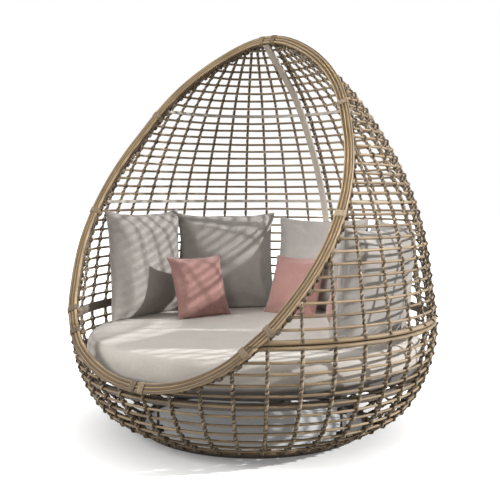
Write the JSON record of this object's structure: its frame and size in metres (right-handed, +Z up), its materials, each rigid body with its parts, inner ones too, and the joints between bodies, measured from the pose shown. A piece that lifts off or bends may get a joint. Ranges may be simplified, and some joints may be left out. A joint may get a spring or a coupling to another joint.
{
  "type": "outdoor daybed with canopy",
  "caption": "Egg-shaped woven shell daybed with an open front, a bundled pole rim, a round seat cushion on a slatted frame, square back pillows and small scatter pillows.",
  "frame": {"origin": "on the floor, under the middle of the whole daybed", "axes": "+Z up, the opening faces -Y, +X runs from side to side"},
  "size_m": [1.886, 1.8806, 2.0303],
  "materials": {
    "rattan": "matt grained synthetic rattan",
    "rim_pole": "matt grained synthetic rattan, lighter",
    "wrap_cord": "twisted cord, matt",
    "aluminium": "warm grey powder coat",
    "seat_fabric": "plain woven outdoor fabric",
    "grey_fabric": "plain woven outdoor fabric",
    "pink_fabric": "slub woven outdoor fabric",
    "foot": "matt"
  },
  "bodies": {
    "root": {"base_weave": "rattan", "canopy_weave": "rattan", "base_top_ring": "rattan", "canopy_bottom_ring": "rattan", "rim_upper_pole_inner": "rim_pole", "rim_lower_pole_inner": "rim_pole", "rim_upper_pole_middle": "rim_pole", "rim_lower_pole_middle": "rim_pole", "rim_upper_pole_outer": "rim_pole", "rim_lower_pole_outer": "rim_pole", "rim_upper_pole_back": "rim_pole", "rim_lower_pole_back": "rim_pole", "rim_upper_frame_tube": "aluminium", "rim_lower_frame_tube": "aluminium", "wrap_bottom_right": "wrap_cord", "wrap_bottom_left": "wrap_cord", "wrap_base_seam_right": "wrap_cord", "wrap_base_seam_left": "wrap_cord", "wrap_canopy_seam_right": "wrap_cord", "wrap_canopy_seam_left": "wrap_cord", "wrap_lower_hoop_right": "wrap_cord", "wrap_lower_hoop_left": "wrap_cord", "wrap_upper_hoop_right": "wrap_cord", "wrap_upper_hoop_left": "wrap_cord", "wrap_top_right": "wrap_cord", "wrap_top_left": "wrap_cord", "lower_hoop": "aluminium", "upper_hoop": "aluminium", "spine_lower": "aluminium", "spine_upper": "aluminium", "floor_ring": "aluminium", "platform_ring": "aluminium", "slat_1": "aluminium", "slat_2": "aluminium", "slat_3": "aluminium", "slat_4": "aluminium", "slat_5": "aluminium", "slat_6": "aluminium", "slat_7": "aluminium", "leg_1": "aluminium", "foot_1": "foot", "leg_2": "aluminium", "foot_2": "foot", "leg_3": "aluminium", "foot_3": "foot", "leg_4": "aluminium", "foot_4": "foot", "leg_5": "aluminium", "foot_5": "foot", "leg_6": "aluminium", "foot_6": "foot", "seat_cushion": "seat_fabric", "back_pillow_1": "grey_fabric", "back_pillow_2": "grey_fabric", "back_pillow_3": "grey_fabric", "back_pillow_4": "grey_fabric", "back_pillow_5": "grey_fabric", "scatter_pillow_1": "pink_fabric", "scatter_pillow_2": "pink_fabric", "scatter_pillow_3": "pink_fabric"}
  },
  "joints": []
}
